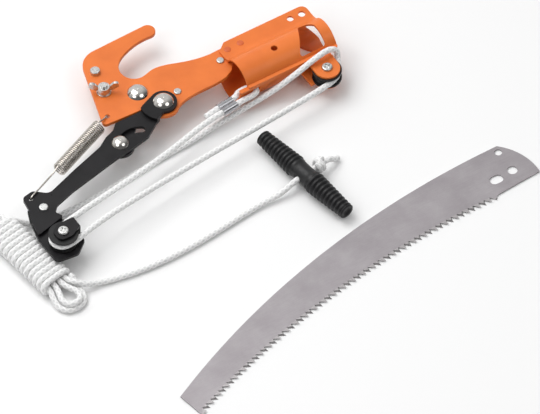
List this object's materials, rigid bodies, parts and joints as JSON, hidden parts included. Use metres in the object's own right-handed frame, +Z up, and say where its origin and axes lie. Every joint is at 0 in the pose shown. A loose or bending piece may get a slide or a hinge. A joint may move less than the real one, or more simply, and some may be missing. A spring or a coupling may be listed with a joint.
{
  "type": "pole pruner head with saw blade",
  "caption": "Rope-operated bypass pruning head for a pole: stamped hook plate, cutting blade, cam lever, return spring, two pulleys, pull rope with toggle, and a detached curved saw blade",
  "frame": {"origin": "centre of the footprint of everything except the rope and its handle, on the surface the object lies on", "axes": "+X along the pole from the hook to the socket's mouth, +Z up from the table"},
  "size_m": [0.4164, 0.3546, 0.0353],
  "materials": {
    "orange_steel": "glossy orange powder coat",
    "nickel_plate": "bright nickel plate",
    "zinc_steel": "zinc plated steel",
    "black_steel": "satin black enamel",
    "pulley_black": "moulded black nylon",
    "brass_bush": "turned brass",
    "spring_steel": "bright drawn spring wire",
    "aluminium_ferrule": "pressed aluminium",
    "white_rope": "braided white polyester rope",
    "handle_black": "ribbed black rubbery plastic",
    "saw_steel": "grey satin coated saw steel"
  },
  "bodies": {
    "root": {"hook_plate": "orange_steel", "socket_front_shell": "orange_steel", "socket_rear_shell": "orange_steel", "blade_pivot_rivet": "nickel_plate", "lever_pivot_rivet": "nickel_plate", "blade_stop_rivet": "zinc_steel", "socket_rivet": "zinc_steel", "saw_locating_stud": "zinc_steel", "saw_clamp_bolt": "zinc_steel", "saw_clamp_washer": "zinc_steel", "socket_pulley_screw": "zinc_steel", "socket_pulley_nut": "zinc_steel", "socket_pulley_bush": "brass_bush", "rope_ferrule": "aluminium_ferrule", "rope_loop": "white_rope", "rope_tail": "white_rope", "rope_hank": "white_rope", "rope_pull": "white_rope", "rope_end": "white_rope", "toggle_knot": "white_rope", "toggle_handle": "handle_black"},
    "blade": {"cutting_blade": "black_steel", "cam_pin_rivet": "nickel_plate"},
    "lever": {"lever_arm": "black_steel", "lever_pulley_bracket": "black_steel", "bracket_rivet": "zinc_steel", "lever_pulley_screw": "zinc_steel", "lever_pulley_nut": "zinc_steel", "lever_pulley_bush": "brass_bush", "return_spring": "spring_steel", "rope_drive": "white_rope"},
    "lever_wheel": {"lever_pulley": "pulley_black"},
    "socket_wheel": {"socket_pulley": "pulley_black"},
    "saw_wing_nut": {"wing_nut": "zinc_steel"},
    "saw": {"saw_blade": "saw_steel"}
  },
  "joints": [
    {"name": "lever_pivot", "type": "hinge", "parent": "root", "child": "lever", "pos_m": [-0.03535, 0.09805, 0.0245], "axis": [0, 0, 1], "range_deg": [0, 68], "deforming": ["return_spring", "rope_drive"]},
    {"name": "blade_pivot", "type": "hinge", "parent": "root", "child": "blade", "pos_m": [-0.04655, 0.11935, 0.0179], "axis": [0, 0, 1], "range_deg": [0, 60.1]},
    {"name": "lever_pulley_spin", "type": "hinge", "parent": "lever", "child": "lever_wheel", "pos_m": [-0.17735, 0.01905, 0.0254], "axis": [0, 0, 1], "continuous": true},
    {"name": "socket_pulley_spin", "type": "hinge", "parent": "root", "child": "socket_wheel", "pos_m": [0.09565, 0.05935, 0.0176], "axis": [0, 0, 1], "continuous": true},
    {"name": "wing_nut_turn", "type": "hinge", "parent": "root", "child": "saw_wing_nut", "pos_m": [-0.06945, 0.13405, 0.03], "axis": [0, 0, 1], "continuous": true},
    {"name": "saw_lift_off", "type": "slide", "parent": "root", "child": "saw", "axis": [0, 0, 1], "range_m": [0, 0.12]}
  ],
  "couplings": [
    {"joint": "blade_pivot", "follows": "lever_pivot", "ratio": 0.88235}
  ]
}
